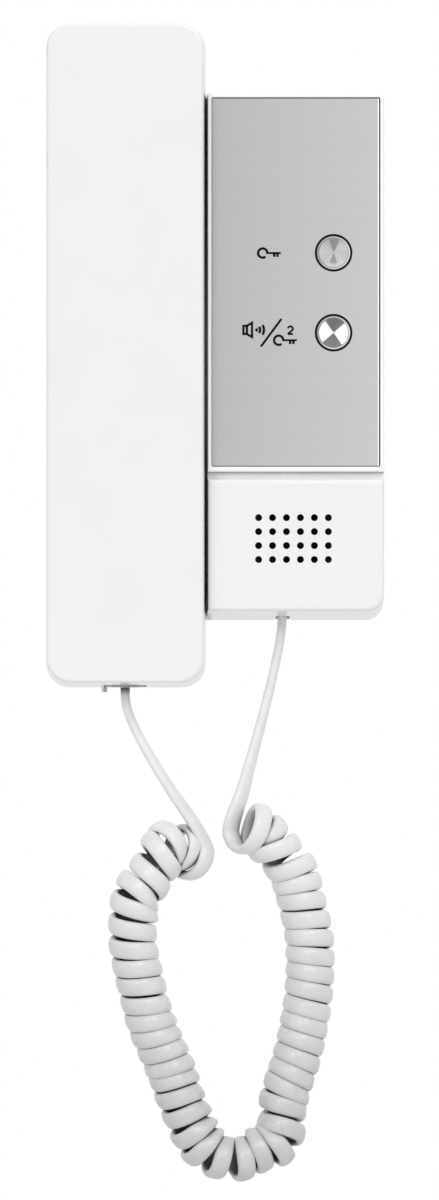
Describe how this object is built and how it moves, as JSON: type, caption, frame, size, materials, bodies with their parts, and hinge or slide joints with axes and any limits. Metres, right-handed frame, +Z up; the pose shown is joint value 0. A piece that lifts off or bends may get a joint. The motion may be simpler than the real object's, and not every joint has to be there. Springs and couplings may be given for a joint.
{
  "type": "wall door-entry handset unit",
  "caption": "Slim wall unit with a lift-off handset on a cradle, a metal panel with round push buttons, a speaker grille and a curly cord.",
  "frame": {"origin": "midway between the two wall screw holes, on the back face of the rear cover", "axes": "+Z up the wall, +X to the right seen from the front, +Y into the wall, so the front faces -Y"},
  "size_m": [0.097, 0.043, 0.3316],
  "materials": {
    "rear_cover": "smooth satin gloss",
    "front_housing": "smooth satin gloss",
    "button_panel_frame": "smooth satin gloss",
    "metal_fascia": "fine satin grain",
    "main_board": "solder mask",
    "board_screws": "plain",
    "cover_screw": "plain",
    "tact_switches": "plain",
    "terminal_block": "plain",
    "terminal_screws": "plain",
    "capacitors": "sleeved can",
    "audio_chip": "plain",
    "ringer_gasket": "foam",
    "ringer_basket": "black",
    "ringer_cone": "pressed",
    "ringer_magnet": "plated",
    "hook_pin": "plain",
    "hook_spring": "plain",
    "hook_microswitch": "plain",
    "hook_plunger": "plain",
    "hook_lever": "plain",
    "base_jack": "plain",
    "base_plug": "clear",
    "base_lead": "satin sheath",
    "curly_cord": "satin sheath",
    "handset_lead": "satin sheath",
    "handset_plug": "clear",
    "handset_jack": "plain",
    "handset_outer_shell": "smooth satin gloss",
    "handset_inner_shell": "smooth satin gloss",
    "handset_screws": "plain",
    "receiver_gasket": "foam",
    "ear_receiver": "plain",
    "receiver_magnet": "plated",
    "microphone_boot": "soft",
    "microphone": "can",
    "upper_button_cap": "spun",
    "upper_button_stem": "plain",
    "upper_switch_plunger": "plain",
    "lower_button_cap": "spun",
    "lower_button_stem": "plain",
    "lower_switch_plunger": "plain"
  },
  "bodies": {
    "base": {"rear_cover": "rear_cover", "front_housing": "front_housing", "button_panel_frame": "button_panel_frame", "metal_fascia": "metal_fascia", "main_board": "main_board", "board_screws": "board_screws", "cover_screw": "cover_screw", "tact_switches": "tact_switches", "terminal_block": "terminal_block", "terminal_screws": "terminal_screws", "capacitors": "capacitors", "audio_chip": "audio_chip", "ringer_gasket": "ringer_gasket", "ringer_basket": "ringer_basket", "ringer_cone": "ringer_cone", "ringer_magnet": "ringer_magnet", "hook_pin": "hook_pin", "hook_spring": "hook_spring", "hook_microswitch": "hook_microswitch", "base_jack": "base_jack", "base_plug": "base_plug", "base_lead": "base_lead", "curly_cord": "curly_cord"},
    "handset": {"handset_outer_shell": "handset_outer_shell", "handset_inner_shell": "handset_inner_shell", "handset_screws": "handset_screws", "receiver_gasket": "receiver_gasket", "ear_receiver": "ear_receiver", "receiver_magnet": "receiver_magnet", "microphone_boot": "microphone_boot", "microphone": "microphone", "handset_jack": "handset_jack", "handset_plug": "handset_plug", "handset_lead": "handset_lead"},
    "upper_button": {"upper_button_cap": "upper_button_cap", "upper_button_stem": "upper_button_stem", "upper_switch_plunger": "upper_switch_plunger"},
    "lower_button": {"lower_button_cap": "lower_button_cap", "lower_button_stem": "lower_button_stem", "lower_switch_plunger": "lower_switch_plunger"},
    "hook_lever": {"hook_lever": "hook_lever"},
    "hook_plunger": {"hook_plunger": "hook_plunger"}
  },
  "joints": [
    {"name": "handset_lift", "type": "slide", "parent": "base", "child": "handset", "axis": [0, -1, 0], "range_m": [0, 0.045]},
    {"name": "upper_button_press", "type": "slide", "parent": "base", "child": "upper_button", "axis": [0, 1, 0], "range_m": [0, 0.0005], "stiffness_N_per_m": 3200},
    {"name": "lower_button_press", "type": "slide", "parent": "base", "child": "lower_button", "axis": [0, 1, 0], "range_m": [0, 0.0005], "stiffness_N_per_m": 3200},
    {"name": "hook_swing", "type": "hinge", "parent": "base", "child": "hook_lever", "pos_m": [-0.028, -0.0095, 0.034], "axis": [1, 0, 0], "range_deg": [0, 6.6]},
    {"name": "hook_plunger_press", "type": "slide", "parent": "base", "child": "hook_plunger", "axis": [0, 1, 0], "range_m": [0, 0.00125]}
  ],
  "couplings": [
    {"joint": "hook_swing", "follows": "handset_lift", "rad_per_m": 2.521},
    {"joint": "hook_plunger_press", "follows": "handset_lift", "ratio": 0.026667}
  ]
}
